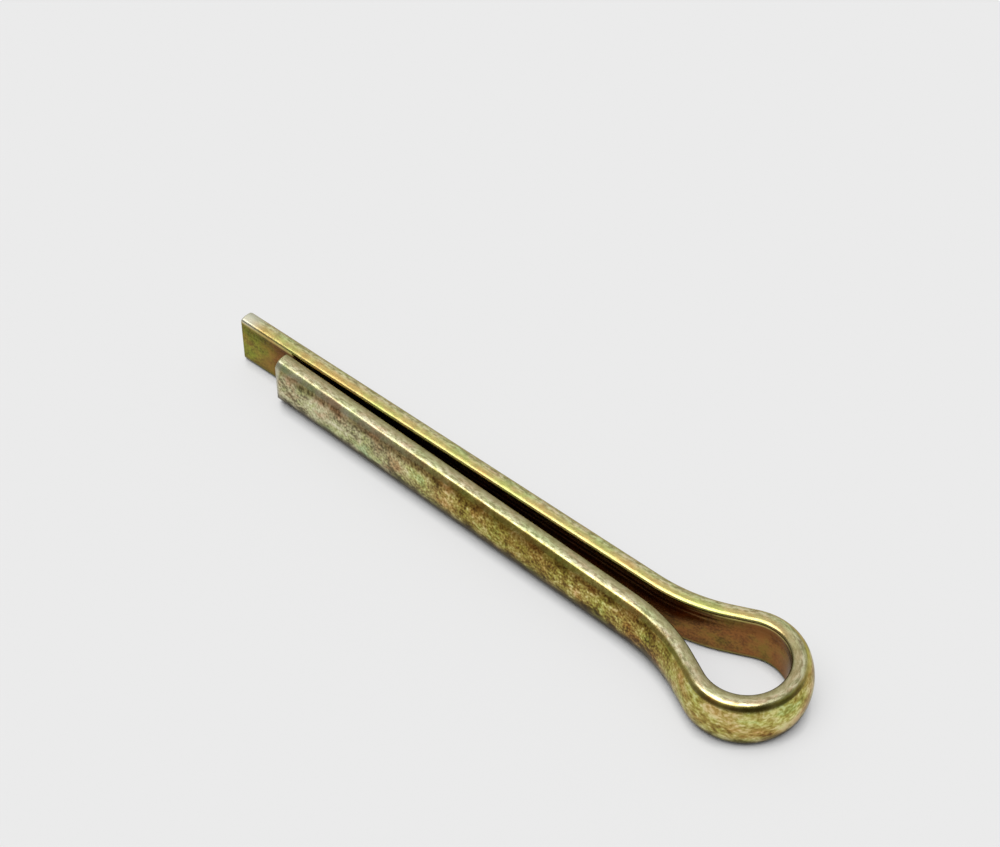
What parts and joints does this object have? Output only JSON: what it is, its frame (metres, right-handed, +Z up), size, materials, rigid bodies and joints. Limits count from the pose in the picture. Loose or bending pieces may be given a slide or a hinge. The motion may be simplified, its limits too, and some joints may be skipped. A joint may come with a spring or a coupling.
{
  "type": "split cotter pin",
  "caption": "Split cotter pin bent from flattened half-round steel wire, with a teardrop eye, square-cut legs of unequal length and a yellow zinc finish.",
  "frame": {"origin": "on the surface the pin lies on, under the middle of its length and width", "axes": "+X from the eye along the legs to the tips, +Y to the short leg's side, +Z up from the side it lies on"},
  "size_m": [0.0442, 0.008, 0.0036],
  "materials": {
    "wire": "yellow zinc plate, mottled gold, olive and pink over drawn steel, satin gloss"
  },
  "bodies": {
    "root": {"cotter_pin": "wire"}
  },
  "joints": []
}
